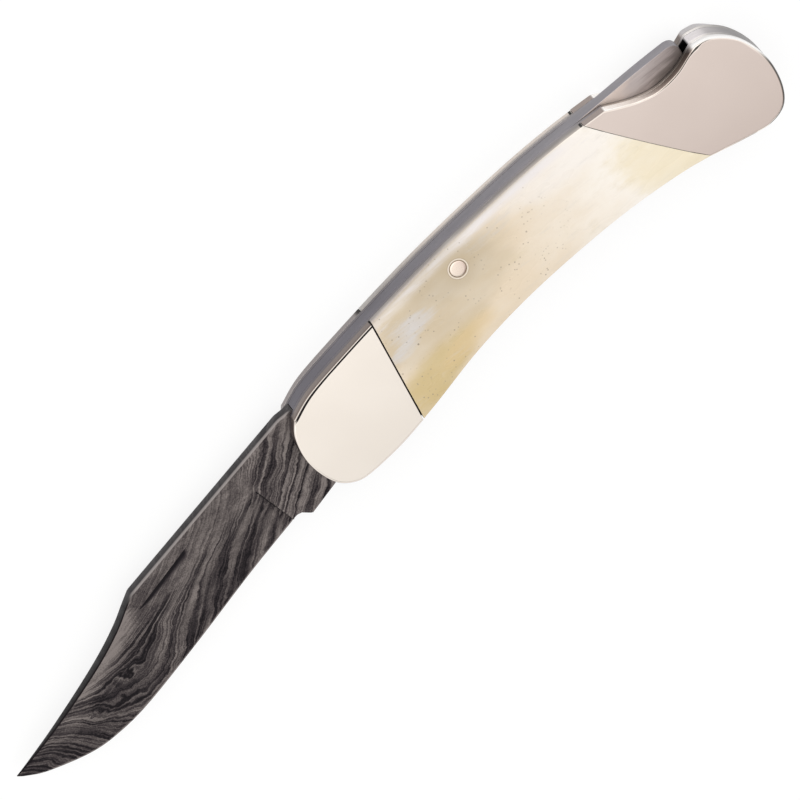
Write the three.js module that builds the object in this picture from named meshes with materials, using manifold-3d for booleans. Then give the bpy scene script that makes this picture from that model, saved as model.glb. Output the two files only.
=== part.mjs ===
// A folding pocket knife with a clip-point blade and a rocking lock bar along its spine.
// Millimetres, +Z up. The knife lies open and locked on its pile side, with the nail nick up.
// The origin is on the blade's pivot axis at the resting face. +X runs towards the butt and
// +Y towards the spine, so the blade points along -X with its edge towards -Y.
import * as THREE from "three";
import { mergeVertices } from "three/addons/utils/BufferGeometryUtils.js";
import Module from "manifold-3d";

const wasm = await Module();
wasm.setup();

// Thicknesses, from the resting face up
const SLAB = 1.94; // a bolster or a scale
const LINER = 0.88;
const STOCK = 3.0; // blade tang, lock bar and rear spacer
const SEAM = 0.02; // between plates that are fastened together
const SIDE_PLAY = 0.06; // between a liner and the steel that moves beside it

const PILE_SLAB = [0, SLAB];
const PILE_LINER = above(PILE_SLAB, SEAM, LINER);
const WELL = above(PILE_LINER, SIDE_PLAY, STOCK);
const MARK_LINER = above(WELL, SIDE_PLAY, LINER);
const MARK_SLAB = above(MARK_LINER, SEAM, SLAB);
const MIDDLE = (WELL[0] + WELL[1]) / 2;

// Handle outline, as five smooth runs: the spine, the thumb scoop, the butt, the belly and the nose
const SPINE = [[-6, 7], [-1.4, 8.9], [6, 10.4], [18, 12.4], [30, 14], [46.7, 15.45], [57.8, 15.75],
  [66.3, 15.45]];
const SCOOP = [[66.3, 15.45], [69.1, 14], [72, 12.75], [75.4, 12], [79.4, 12.35], [82.4, 13.4],
  [84.6, 14.3]];
const BUTT = [[84.6, 14.3], [87.6, 13.5], [90.6, 10.8], [92.4, 7.1], [93, 3], [92.2, -1.4], [90, -4.9],
  [87, -5.95]];
const BELLY = [[87, -5.95], [81.4, -4.65], [72, -2.65], [60, -1.65], [47.8, -1.75], [36, -2.6], [25, -4.35],
  [14, -7.1], [5.9, -8.8], [0, -9.4]];
const NOSE = [[0, -9.4], [-3.6, -9.2], [-6.6, -7.2], [-8.2, -3.6], [-8.6, 0.4], [-7.7, 4.5], [-6, 7]];

// Joints between the bolsters and the scales, as lines that run past the handle's outline
const FRONT_JOINT = [[15.35, 20], [9.94, -14]];
const REAR_JOINT = [[59.6, 20.5], [61.8, 16.3], [64.5, 11.5], [69.8, 3.9], [75.3, -2.8], [84, -13]];
const JOINT_GAP = 0.1;
const BOLSTER_EDGE = 0.3; // the bolsters' edges are only just broken
const SCALE_EDGE = 1.5; // the scales' edges are rounded over

// Pins and rivets: places in the handle's plane, and radii
const ROCKER = [31, 9.8];
const BUTT_PINS = { upper_butt_pin: [88.2, 11], lower_butt_pin: [87.4, -1] };
const FRONT_RIVETS = { upper: [7.6, 5.6], lower: [7.2, -4.8] };
const REAR_RIVET = [74, 4.5];
const PIVOT_RADIUS = 2;
const ROCKER_RADIUS = 1.25;
const ROCKER_HEAD_RADIUS = 1.42;
const ROCKER_HEAD = 0.35;
const BUTT_PIN_RADIUS = 1.2;
const RIVET_RADIUS = 0.8;
const SKIN = 0.6; // bolster metal left over a pin's end, which is polished flush on the real knife
const FIT = 0.04; // radial gap round a fixed pin
const RUNNING_FIT = 0.06; // radial gap round a pin that something turns on
const ROUND_STEPS = 32;

// Blade
const BLADE_SPINE = [[-5.12, 7.5], [-8.2, 7.5], [-45.3, -0.45]];
const BLADE_CLIP = [[-45.3, -0.45], [-47.4, -1.75], [-51, -4], [-56.2, -6.5], [-63.1, -9.1],
  [-71, -11.65], [-79.1, -13.8]];
const BLADE_EDGE = [[-16, -8.9], [-27.4, -11.6], [-41.8, -15.5], [-54.6, -18.6], [-62, -19.4],
  [-67.5, -18.9], [-74.5, -16.7], [-77.8, -14.9], [-79.1, -13.9]];
const PLUNGE_TOP = [-19.5, 5.1];
const PLUNGE_FOOT = [-17.2, -8.6];
const CHOIL = [[-16.4, -8.4], [-15.5, -8.15], [-14.6, -8.4]];
const KICK = [-13.2, -9.6];
const TANG_UNDERSIDE = [-5.8, -7.55];
const TANG_RADIUS = 5.6;
const NOTCH_FLOOR = 5.4;
const GROUND_START = -16.8;
const BLADE_STATIONS = 22;
const FLAT_THICKNESS = 2.8; // of the flats beside the spine, the tang keeps the full stock
const GRIND_LINE = 0.37; // where the flat ends, as a share of the blade's width from the spine
const NICK = [[-32.4, 0.3], [-45.7, -3.4]];
const NICK_DEPTH = 0.6;
const NICK_SLOPE = 0.35;

// Lock bar
const HOOK_FRONT = -5;
const BAR_TAIL_TOP = [[60, 15.72], [66, 15.82], [75, 16], [80.9, 15.95], [81.7, 15.75], [82.3, 15.3],
  [82.6, 14.6]];
const BAR_UNDERSIDE = [[82.5, 11.6], [80.6, 11.35], [70, 11.5], [58, 11.4], [46, 10.8], [38.5, 9.6]];
const BAR_BOSS_RADIUS = 2.3;
const BAR_NECK = [[24.5, 8.25], [14.7, 7.65], [5, 6.85], [-1.2, 6.4]];
const HOOK = [[-1.2, 5.5], [-4.7, 5.5]];

// Rear spacer and the leaf spring held in its slot
const SPACER_FRONT = 84;
const LEAF_LINE = [[90, 8.4], [84, 8.45], [78, 9.2], [73, 10.1], [68.5, 10.9]];
const LEAF_THICKNESS = 0.9;
const LEAF_WIDTH = 2.7;
const SLOT = { x: [80, 90.3], y: [7.85, 9.1] };

const NICKEL_SILVER = { color: 0xe2d8ce, roughness: 0.15, metalness: 1 };
const BONE = { color: 0xe9ddc4, roughness: 0.35, metalness: 0 };
const STEEL = { color: 0x8b8b92, roughness: 0.35, metalness: 1 };
const SPRING_STEEL = { color: 0x6a6a70, roughness: 0.4, metalness: 1 };
const ETCHED_STEEL = { color: 0x4d494a, roughness: 0.6, metalness: 0.8 };
const LINER_METAL = { color: 0x9a938a, roughness: 0.35, metalness: 1 };

// The next plate's levels: a gap above a lower plate, then a thickness
function above(lower, gap, thickness) {
  return [lower[1] + gap, lower[1] + gap + thickness];
}

// Points along a smooth curve through the given ones
function smooth(points, steps) {
  const curve = new THREE.SplineCurve(points.map(([x, y]) => new THREE.Vector2(x, y)));
  return curve.getPoints(steps).map((p) => [p.x, p.y]);
}

// Points along an arc, with the angles in degrees
function arc([x, y], radius, from, to, steps) {
  const points = [];
  for (let i = 0; i <= steps; i++) {
    const angle = THREE.MathUtils.degToRad(from + ((to - from) * i) / steps);
    points.push([x + radius * Math.cos(angle), y + radius * Math.sin(angle)]);
  }
  return points;
}

// The height of a run of points at a place along X, where the run goes one way in X
function heightAt(points, x) {
  for (let i = 1; i < points.length; i++) {
    const [ax, ay] = points[i - 1];
    const [bx, by] = points[i];
    if ((x - ax) * (x - bx) <= 0 && ax !== bx) return ay + ((by - ay) * (x - ax)) / (bx - ax);
  }
  throw new Error("no height at x " + x);
}

// A three.js geometry as a solid that can be joined and cut
function solid(geometry) {
  const bare = new THREE.BufferGeometry().setAttribute("position", geometry.getAttribute("position"));
  bare.setIndex(geometry.index);
  const merged = mergeVertices(bare);
  const triVerts = new Uint32Array(merged.index.array);
  const vertProperties = merged.getAttribute("position").array;
  return new wasm.Manifold(new wasm.Mesh({ numProp: 3, vertProperties, triVerts }));
}

// A shape in the handle's plane
function shape(outline) {
  return new THREE.Shape(outline.map(([x, y]) => new THREE.Vector2(x, y)));
}

// A flat plate between two levels
function plate(outline, [bottom, top]) {
  const geometry = new THREE.ExtrudeGeometry(shape(outline), { depth: top - bottom, bevelEnabled: false });
  return solid(geometry.translate(0, 0, bottom));
}

// A round bar standing on the handle's plane
function round([x, y], radius, [bottom, top]) {
  const geometry = new THREE.CylinderGeometry(radius, radius, top - bottom, ROUND_STEPS);
  return solid(geometry.rotateX(Math.PI / 2).translate(x, y, (bottom + top) / 2));
}

// A plate pierced by round holes, each given as a place and a radius
function pierced(body, holes, [bottom, top]) {
  return holes.reduce((rest, [place, radius]) => rest.subtract(round(place, radius, [bottom, top])), body);
}

// A mesh made from a solid, with its own material
function part(name, body, finish) {
  const { vertProperties, triVerts } = body.getMesh();
  const geometry = new THREE.BufferGeometry();
  geometry.setAttribute("position", new THREE.BufferAttribute(vertProperties, 3));
  geometry.setIndex(new THREE.BufferAttribute(triVerts, 1));
  geometry.computeVertexNormals();
  const mesh = new THREE.Mesh(geometry, new THREE.MeshStandardMaterial(finish));
  mesh.name = name;
  return mesh;
}

// The handle's whole outline, with the thumb scoop
function handleOutline() {
  const runs = [
    smooth(SPINE, 16),
    smooth(SCOOP, 12),
    smooth(BUTT, 16),
    smooth(BELLY, 18),
    smooth(NOSE, 14),
  ];
  return runs.flatMap((run) => run.slice(0, -1));
}

// A joint line moved along the handle by part of the joint's gap
function shifted(line, distance) {
  return line.map(([x, y]) => [x + distance, y]);
}

// The areas of the front bolster, the scale and the rear bolster
function regions() {
  const half = JOINT_GAP / 2;
  const rear = smooth(REAR_JOINT, 20);
  return {
    front: [...shifted(FRONT_JOINT, -half), [-30, -14], [-30, 20]],
    scale: [...shifted(FRONT_JOINT, half), ...shifted(rear, -half).reverse()],
    rear: [...shifted(rear, half), [120, -13], [120, 20.5]],
  };
}

// One side's slab over the whole handle, with its outer edges rounded, cut to one region
function slabPiece(region, side, edge, edgeSteps) {
  const depth = 2 * SLAB - 2 * edge;
  const bevel = { bevelThickness: edge, bevelSize: edge, bevelOffset: -edge, bevelSegments: edgeSteps };
  const geometry = new THREE.ExtrudeGeometry(shape(handleOutline()), { depth, ...bevel });
  const lift = side === MARK_SLAB ? side[1] - depth - edge : side[0] + edge;
  return solid(geometry.translate(0, 0, lift)).intersect(plate(region, side));
}

// Levels of a blind bore in a bolster, closed by the skin at its outer face
function blindBore(side) {
  const past = 1;
  return side === MARK_SLAB ? [side[0] - past, side[1] - SKIN] : [side[0] + SKIN, side[1] + past];
}

function frontBolster(side) {
  const holes = [[[0, 0], PIVOT_RADIUS + FIT]];
  for (const place of Object.values(FRONT_RIVETS)) holes.push([place, RIVET_RADIUS + FIT]);
  return pierced(slabPiece(regions().front, side, BOLSTER_EDGE, 1), holes, blindBore(side));
}

function rearBolster(side) {
  const holes = [[REAR_RIVET, RIVET_RADIUS + FIT]];
  for (const place of Object.values(BUTT_PINS)) holes.push([place, BUTT_PIN_RADIUS + FIT]);
  return pierced(slabPiece(regions().rear, side, BOLSTER_EDGE, 1), holes, blindBore(side));
}

// A bone scale, with the rocker pin's hole widened for the spun head at its face
function scale(side) {
  const through = [side[0] - 1, side[1] + 1];
  const deep = ROCKER_HEAD + FIT;
  const head = side === MARK_SLAB ? [side[1] - deep, through[1]] : [through[0], side[0] + deep];
  const body = slabPiece(regions().scale, side, SCALE_EDGE, 3);
  const bored = pierced(body, [[ROCKER, ROCKER_RADIUS + FIT]], through);
  return pierced(bored, [[ROCKER, ROCKER_HEAD_RADIUS + FIT]], head);
}

function liner(levels) {
  const holes = [
    [[0, 0], PIVOT_RADIUS + FIT],
    [ROCKER, ROCKER_RADIUS + FIT],
    [REAR_RIVET, RIVET_RADIUS + FIT],
  ];
  for (const place of Object.values(BUTT_PINS)) holes.push([place, BUTT_PIN_RADIUS + FIT]);
  for (const place of Object.values(FRONT_RIVETS)) holes.push([place, RIVET_RADIUS + FIT]);
  return pierced(plate(handleOutline(), levels), holes, [levels[0] - 1, levels[1] + 1]);
}

// A closed skin over rings of points, all with the same number of points
function loft(rings) {
  const count = rings[0].length;
  const last = (rings.length - 1) * count;
  const index = [];
  for (let r = 0; r < rings.length - 1; r++) {
    for (let i = 0; i < count; i++) {
      const a = r * count + i;
      const b = r * count + ((i + 1) % count);
      index.push(a, a + count, b, b, a + count, b + count);
    }
  }
  for (let i = 1; i < count - 1; i++) {
    index.push(0, i, i + 1, last, last + i + 1, last + i);
  }
  const geometry = new THREE.BufferGeometry();
  geometry.setAttribute("position", new THREE.Float32BufferAttribute(rings.flat(2), 3));
  geometry.setIndex(index);
  return solid(geometry);
}

// The ground part of the blade: sections across it from the plunge to the point
function groundBlade() {
  const spine = [...BLADE_SPINE.slice(1), ...smooth(BLADE_CLIP, 18).slice(1)];
  const edge = smooth(BLADE_EDGE, 32);
  const tip = BLADE_CLIP.at(-1)[0];
  const rings = [];
  for (let k = 0; k <= BLADE_STATIONS; k++) {
    const along = 1 - (1 - k / BLADE_STATIONS) ** 1.3;
    const x = GROUND_START + (tip - GROUND_START) * along;
    const top = heightAt(spine, x);
    const bottom = heightAt(edge, x);
    const half = (FLAT_THICKNESS / 2) * (1 - 0.75 * along ** 4);
    const across = [[0, half], [GRIND_LINE, half], [0.96, 0.15 * half], [1, 0.03]];
    const mark = across.map(([f, h]) => [x, top + (bottom - top) * f, MIDDLE + h]);
    const pile = across.map(([f, h]) => [x, top + (bottom - top) * f, MIDDLE - h]);
    rings.push([...mark, ...pile.reverse()]);
  }
  return loft(rings);
}

// The tang with the ricasso, the kick and the notch for the lock bar's hook
function tang() {
  const floorEnd = Math.acos(NOTCH_FLOOR / TANG_RADIUS);
  const arcEnd = 90 + THREE.MathUtils.radToDeg(floorEnd);
  const outline = [
    BLADE_SPINE[0],
    BLADE_SPINE[1],
    PLUNGE_TOP,
    PLUNGE_FOOT,
    ...CHOIL,
    KICK,
    TANG_UNDERSIDE,
    ...arc([0, 0], TANG_RADIUS, -80, arcEnd, 20),
    [BLADE_SPINE[0][0], NOTCH_FLOOR],
  ];
  return pierced(plate(outline, WELL), [[[0, 0], PIVOT_RADIUS + RUNNING_FIT]], [WELL[0] - 1, WELL[1] + 1]);
}

// The cutter for the nail nick: a wedge with an upright wall on the spine side
function nickCutter() {
  const [[ax, ay], [bx, by]] = NICK;
  const length = Math.hypot(bx - ax, by - ay);
  const floor = MIDDLE + FLAT_THICKNESS / 2 - NICK_DEPTH;
  const rise = 2;
  const wedge = shape([[0, floor], [rise / NICK_SLOPE, floor + rise], [0, floor + rise]]);
  const geometry = new THREE.ExtrudeGeometry(wedge, { depth: length, bevelEnabled: false });
  const along = new THREE.Vector3(bx - ax, by - ay, 0).divideScalar(length);
  const across = new THREE.Vector3(-along.y, along.x, 0);
  const basis = new THREE.Matrix4().makeBasis(across, new THREE.Vector3(0, 0, 1), along);
  return solid(geometry.applyMatrix4(basis).translate(ax, ay, 0));
}

function blade() {
  return tang().add(groundBlade()).subtract(nickCutter());
}

// The lock bar: its top follows the handle's spine, and its front end drops into the tang's notch
function lockBar() {
  const spine = smooth(SPINE, 16);
  const flush = spine.filter(([x]) => x > HOOK_FRONT && x < BAR_TAIL_TOP[0][0]);
  const outline = [
    [HOOK_FRONT, heightAt(spine, HOOK_FRONT)],
    ...flush,
    ...BAR_TAIL_TOP,
    ...BAR_UNDERSIDE,
    ...arc(ROCKER, BAR_BOSS_RADIUS, -40, -140, 6),
    ...BAR_NECK,
    ...HOOK,
  ];
  return pierced(plate(outline, WELL), [[ROCKER, ROCKER_RADIUS + RUNNING_FIT]], [WELL[0] - 1, WELL[1] + 1]);
}

// The spacer fills the butt between the liners, with a slot for the leaf spring
function rearSpacer() {
  const [front, end] = [SPACER_FRONT, 120];
  const butt = plate([[front, -20], [end, -20], [end, 30], [front, 30]], WELL);
  const [[x0, x1], [y0, y1]] = [SLOT.x, SLOT.y];
  const slot = plate([[x0, y0], [x1, y0], [x1, y1], [x0, y1]], [WELL[0] - 1, WELL[1] + 1]);
  const holes = Object.values(BUTT_PINS).map((place) => [place, BUTT_PIN_RADIUS + FIT]);
  const body = plate(handleOutline(), WELL).intersect(butt).subtract(slot);
  return pierced(body, holes, [WELL[0] - 1, WELL[1] + 1]);
}

// A flat leaf of even thickness that bears on the lock bar from below
function lockSpring() {
  const line = smooth(LEAF_LINE, 12);
  const top = line.map(([x, y]) => [x, y + LEAF_THICKNESS / 2]);
  const bottom = line.map(([x, y]) => [x, y - LEAF_THICKNESS / 2]);
  return plate([...top, ...bottom.reverse()], [MIDDLE - LEAF_WIDTH / 2, MIDDLE + LEAF_WIDTH / 2]);
}

// A pin whose ends stop under the skin of both bolsters
function hiddenPin(place, radius) {
  const end = SKIN + FIT;
  return round(place, radius, [PILE_SLAB[0] + end, MARK_SLAB[1] - end]);
}

// The rocker pin, with a spun head flush with each scale
function rockerPin() {
  const half = MARK_SLAB[1] / 2;
  const neck = half - ROCKER_HEAD;
  const upper = [[ROCKER_RADIUS, neck], [ROCKER_HEAD_RADIUS, neck], [ROCKER_HEAD_RADIUS, half], [0, half]];
  const lower = upper.map(([x, y]) => [x, -y]).reverse();
  const profile = [...lower, ...upper];
  const geometry = new THREE.LatheGeometry(profile.map(([x, y]) => new THREE.Vector2(x, y)), ROUND_STEPS);
  return solid(geometry.rotateX(Math.PI / 2).translate(ROCKER[0], ROCKER[1], half));
}

// A rivet from a liner's inner face into the bolster outside it
function rivet(place, side) {
  const end = SKIN + FIT;
  const levels = side === MARK_SLAB ? [MARK_LINER[0], side[1] - end] : [side[0] + end, PILE_LINER[1]];
  return round(place, RIVET_RADIUS, levels);
}

function knife() {
  const group = new THREE.Group();
  group.add(part("blade", blade(), ETCHED_STEEL));
  group.add(part("lock_bar", lockBar(), STEEL));
  group.add(part("rear_spacer", rearSpacer(), STEEL));
  group.add(part("lock_spring", lockSpring(), SPRING_STEEL));
  const sides = { mark: [MARK_SLAB, MARK_LINER], pile: [PILE_SLAB, PILE_LINER] };
  for (const [side, [slab, linerLevels]] of Object.entries(sides)) {
    group.add(part(side + "_liner", liner(linerLevels), LINER_METAL));
    group.add(part(side + "_front_bolster", frontBolster(slab), NICKEL_SILVER));
    group.add(part(side + "_rear_bolster", rearBolster(slab), NICKEL_SILVER));
    group.add(part(side + "_scale", scale(slab), BONE));
    for (const [row, place] of Object.entries(FRONT_RIVETS)) {
      group.add(part(side + "_front_" + row + "_rivet", rivet(place, slab), NICKEL_SILVER));
    }
    group.add(part(side + "_rear_rivet", rivet(REAR_RIVET, slab), NICKEL_SILVER));
  }
  group.add(part("pivot_pin", hiddenPin([0, 0], PIVOT_RADIUS), NICKEL_SILVER));
  for (const [name, place] of Object.entries(BUTT_PINS)) {
    group.add(part(name, hiddenPin(place, BUTT_PIN_RADIUS), NICKEL_SILVER));
  }
  group.add(part("rocker_pin", rockerPin(), NICKEL_SILVER));
  return group;
}

export default knife();
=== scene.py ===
import math

import bpy
import numpy as np
from mathutils import Matrix, Vector

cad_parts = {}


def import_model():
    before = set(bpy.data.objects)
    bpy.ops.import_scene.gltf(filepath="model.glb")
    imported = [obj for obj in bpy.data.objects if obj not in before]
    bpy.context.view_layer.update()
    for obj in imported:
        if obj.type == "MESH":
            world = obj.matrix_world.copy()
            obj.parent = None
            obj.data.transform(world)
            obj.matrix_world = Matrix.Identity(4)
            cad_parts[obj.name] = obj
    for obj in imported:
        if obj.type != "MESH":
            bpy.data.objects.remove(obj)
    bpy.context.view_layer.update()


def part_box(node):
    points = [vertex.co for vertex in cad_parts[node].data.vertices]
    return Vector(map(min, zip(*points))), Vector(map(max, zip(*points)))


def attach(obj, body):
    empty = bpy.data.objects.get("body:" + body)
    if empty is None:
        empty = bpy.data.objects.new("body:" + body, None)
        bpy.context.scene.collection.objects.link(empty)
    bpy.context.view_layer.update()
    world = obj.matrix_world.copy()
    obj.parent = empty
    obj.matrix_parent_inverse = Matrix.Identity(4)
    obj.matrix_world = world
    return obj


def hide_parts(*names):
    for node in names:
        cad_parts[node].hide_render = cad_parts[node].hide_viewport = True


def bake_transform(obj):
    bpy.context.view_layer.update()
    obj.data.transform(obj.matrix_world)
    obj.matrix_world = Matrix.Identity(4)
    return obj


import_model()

# Camera: a long lens, square to the knife's length and tipped so that the spine shows above the
# handle's face. The blade points down and to the left of the picture.
TIPPED = math.radians(24.7)
LENGTH_RIGHT, LENGTH_UP = 0.7785, 0.6276
AIM = Vector((9.846, -2.199, 8.8)) / 1000
VIEW_WIDTH = 0.13289
LENS = 1000.0

toward = Vector((0, math.sin(TIPPED), math.cos(TIPPED)))
length = Vector((1, 0, 0))
across = Vector((0, math.cos(TIPPED), -math.sin(TIPPED)))
right = LENGTH_RIGHT * length - LENGTH_UP * across
up = LENGTH_UP * length + LENGTH_RIGHT * across
camera = bpy.data.objects.new("camera", bpy.data.cameras.new("camera"))
camera.data.lens = LENS
camera.data.clip_start = 0.1
camera.data.clip_end = 30
spot = AIM + toward * (LENS / camera.data.sensor_width * VIEW_WIDTH)
camera.matrix_world = Matrix.Translation(spot) @ Matrix((right, up, toward)).transposed().to_4x4()
bpy.context.scene.collection.objects.link(camera)
bpy.context.scene.camera = camera
bpy.context.scene.view_settings.view_transform = "Standard"


# Studio: a white paper floor in an evenly bright room. A graded card hangs where the polished metal
# mirrors it, and a long soft box behind the spine lights the bone.
ROOM_COLOUR, ROOM_LIGHT = (1.0, 0.995, 0.985), 1.06
CARD_SIZE, CARD_PLACE, CARD_AIM = (0.46, 0.26), (0.045, -0.161, 0.35), (0.045, 0, 0.0088)
BOX_SIZE, BOX_PLACE, BOX_AIM, BOX_POWER = (0.90, 0.22), (0.0, 0.62, 0.22), (0.02, 0, 0), 0.62
FLOOR_SIZE, FLOOR_DROP, PAPER = (12.0, 12.0), 0.00002, (0.9, 0.9, 0.9)


class Field:
    """A value that varies over a surface: sums and products of fields become nodes."""

    def __init__(self, tree, socket):
        self.tree = tree
        self.socket = socket

    def math(self, operation, *others):
        made = self.tree.nodes.new("ShaderNodeMath")
        made.operation = operation
        for slot, value in zip(made.inputs, (self, *others)):
            feed(self.tree, slot, value)
        return Field(self.tree, made.outputs[0])

    def __add__(self, other):
        return self.math("ADD", other)

    def __sub__(self, other):
        return self.math("SUBTRACT", other)

    def __rsub__(self, other):
        return self.math("MULTIPLY_ADD", -1.0, other)

    def __mul__(self, other):
        return self.math("MULTIPLY", other)

    def size(self):
        return self.math("ABSOLUTE")

    def power(self, exponent):
        return self.math("POWER", exponent)

    def most(self, other):
        return self.math("MAXIMUM", other)

    def least(self, other):
        return self.math("MINIMUM", other)

    def ramp(self, start, end, low=0.0, high=1.0):
        """Rises smoothly from low to high as the field goes from start to end."""
        made = self.tree.nodes.new("ShaderNodeMapRange")
        made.interpolation_type = "SMOOTHSTEP"
        for slot, value in zip(made.inputs, (self, start, end, low, high)):
            feed(self.tree, slot, value)
        return Field(self.tree, made.outputs[0])


def feed(tree, slot, value):
    """Links a field to a socket, or sets a plain value on it."""
    if isinstance(value, Field):
        tree.links.new(value.socket, slot)
    else:
        slot.default_value = value


def add_node(tree, kind, inputs, out=0, **settings):
    """One node with its inputs, by name or number, and its settings."""
    made = tree.nodes.new("ShaderNode" + kind)
    for name, value in settings.items():
        setattr(made, name, value)
    for name, value in inputs.items():
        feed(tree, made.inputs[name], value)
    return Field(tree, made.outputs[out])


def flat_sheet(name, size):
    """A flat rectangle."""
    w, h = size[0] / 2, size[1] / 2
    mesh = bpy.data.meshes.new(name)
    mesh.from_pydata([(-w, -h, 0), (w, -h, 0), (w, h, 0), (-w, h, 0)], [], [(0, 1, 2, 3)])
    return bpy.data.objects.new(name, mesh)


def hang(thing, place, aim):
    """Hangs a card or a lamp where the camera doesn't see it, facing a point of the knife."""
    thing.location = place
    thing.rotation_mode = "QUATERNION"
    thing.rotation_quaternion = (Vector(place) - Vector(aim)).to_track_quat("Z", "Y")
    thing.visible_camera = False
    bpy.context.scene.collection.objects.link(thing)


def empty_material(sheet, name):
    """A new material on a sheet: its node tree, with nothing in it."""
    material = bpy.data.materials.new(name)
    material.use_nodes = True
    material.node_tree.nodes.clear()
    sheet.data.materials.append(material)
    return material.node_tree


def end_in(tree, shader):
    """Makes a shader the surface of its material."""
    output = tree.nodes.new("ShaderNodeOutputMaterial")
    feed(tree, output.inputs["Surface"], shader)


room = bpy.data.worlds.new("room")
bpy.context.scene.world = room
room.use_nodes = True
walls = room.node_tree.nodes["Background"]
walls.inputs["Strength"].default_value = ROOM_LIGHT
walls.inputs["Color"].default_value = (*ROOM_COLOUR, 1)

card = flat_sheet("graded_card", CARD_SIZE)
hang(card, CARD_PLACE, CARD_AIM)
tree = empty_material(card, "graded_card")
split = tree.nodes.new("ShaderNodeSeparateXYZ")
feed(tree, split.inputs[0], add_node(tree, "TexCoord", {}, out=3))
card_x, card_y = (Field(tree, axis) * 1000.0 for axis in split.outputs[:2])


def graded(front, rear):
    """A glow that falls from the knife's front to its rear, and a little towards its belly."""
    return card_x.ramp(-30, 20, front, rear) + card_y * 0.006


glow = add_node(tree, "CombineXYZ", {0: graded(1.03, 0.76), 1: graded(1.03, 0.70), 2: graded(1.01, 0.69)})
end_in(tree, add_node(tree, "Emission", {"Color": glow, "Strength": 1.0}))

lamp = bpy.data.lights.new("spine_side_box", "AREA")
lamp.shape = "RECTANGLE"
lamp.size, lamp.size_y = BOX_SIZE
lamp.energy = BOX_POWER
hang(bpy.data.objects.new("spine_side_box", lamp), BOX_PLACE, BOX_AIM)

floor = flat_sheet("floor", FLOOR_SIZE)
floor.location.z = -FLOOR_DROP
bpy.context.scene.collection.objects.link(floor)
tree = empty_material(floor, "white_paper")
sight = tree.nodes.new("ShaderNodeLightPath")
seen = Field(tree, sight.outputs["Is Camera Ray"])
seen = seen.most(Field(tree, sight.outputs["Is Glossy Ray"]))
seen = seen.most(Field(tree, sight.outputs["Is Transmission Ray"]))
matt = add_node(tree, "BsdfDiffuse", {"Color": (*PAPER, 1)})
white = add_node(tree, "Emission", {"Color": (1, 1, 1, 1), "Strength": 1.05})
end_in(tree, add_node(tree, "MixShader", {0: seen * 0.78, 1: matt, 2: white}))


# Liners: two thin steel plates, one each side of the blade's well, cut to the handle's whole
# outline with its thumb scoop. Everything else is pinned or riveted through them.
PILE_LINER, MARK_LINER = (1.96, 2.84), (5.96, 6.84)
MIDDLE = 4.4
SPINE = [(-6, 7), (-1.4, 8.9), (6, 10.4), (18, 12.4), (30, 14), (46.7, 15.45), (57.8, 15.75), (66.3, 15.45)]
SCOOP = [(66.3, 15.45), (69.1, 14), (72, 12.75), (75.4, 12), (79.4, 12.35), (82.4, 13.4), (84.6, 14.3)]
BUTT = [(84.6, 14.3), (87.6, 13.5), (90.6, 10.8), (92.4, 7.1), (93, 3), (92.2, -1.4), (90.3, -4.4),
        (87, -5.8)]
BELLY = [(87, -5.8), (81.4, -4.65), (72, -2.65), (60, -1.65), (47.8, -1.75), (36, -2.6), (25, -4.35),
         (14, -7.1), (5.9, -8.8), (0, -9.4)]
NOSE = [(0, -9.4), (-3.6, -9.2), (-6.6, -7.2), (-8.2, -3.6), (-8.6, 0.4), (-7.7, 4.5), (-6, 7)]
PIVOT = (0, 0)
ROCKER = (31, 9.8)
BUTT_PINS = [(88.2, 11), (87.4, -1)]
FRONT_RIVETS = [(7.6, 5.6), (7.2, -4.8)]
REAR_RIVET = (74, 4.5)
PIVOT_HOLE, ROCKER_HOLE, BUTT_PIN_HOLE, RIVET_HOLE = 2.04, 1.29, 1.24, 0.84
SCOOP_CORNER, HEEL_CORNER, LINER_EDGE = 0.4, 2.0, 0.08
SHARPEST, LATHE_STEPS = math.radians(35), 64


def through(points, steps):
    """A smooth line through the given points."""
    p = np.array([points[0], *points, points[-1]], float)
    spans = len(points) - 1
    t = np.linspace(0, spans, steps + 1)
    i = np.minimum(t.astype(int), spans - 1)
    f = (t - i)[:, None]
    a, b, c, d = p[i], p[i + 1], p[i + 2], p[i + 3]
    return 0.5 * (2 * b + (c - a) * f + (2 * a - 5 * b + 4 * c - d) * f**2 + (3 * b - a - 3 * c + d) * f**3)


spine = through(SPINE, 90)
scoop = through(SCOOP, 48)
butt = through(BUTT, 80)
belly = through(BELLY, 90)
nose = through(NOSE, 60)


def rounded_corner(first, second, radius):
    """Two runs with the corner between them rounded off. They meet in the middle of the rounding."""
    corner = first[-1]
    a = first[np.linalg.norm(first - corner, axis=1) > radius]
    b = second[np.linalg.norm(second - corner, axis=1) > radius]
    t = np.linspace(0, 1, 13)[:, None]
    curve = (1 - t) ** 2 * a[-1] + 2 * t * (1 - t) * corner + t**2 * b[0]
    return np.vstack([a, curve[1:7]]), np.vstack([curve[6:-1], b])


def loop(*runs):
    """Runs joined end to end in a closed outline, each with the rounding of its edge."""
    points = np.concatenate([run[:-1] for run, _ in runs])
    rounding = np.concatenate([np.resize(radius, len(run))[:-1] for run, radius in runs])
    x, y = points.T
    if np.sum(x * np.roll(y, -1) - np.roll(x, -1) * y) < 0:
        points = points[::-1]
        rounding = np.roll(rounding[::-1], -1)
    return points, rounding


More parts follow.
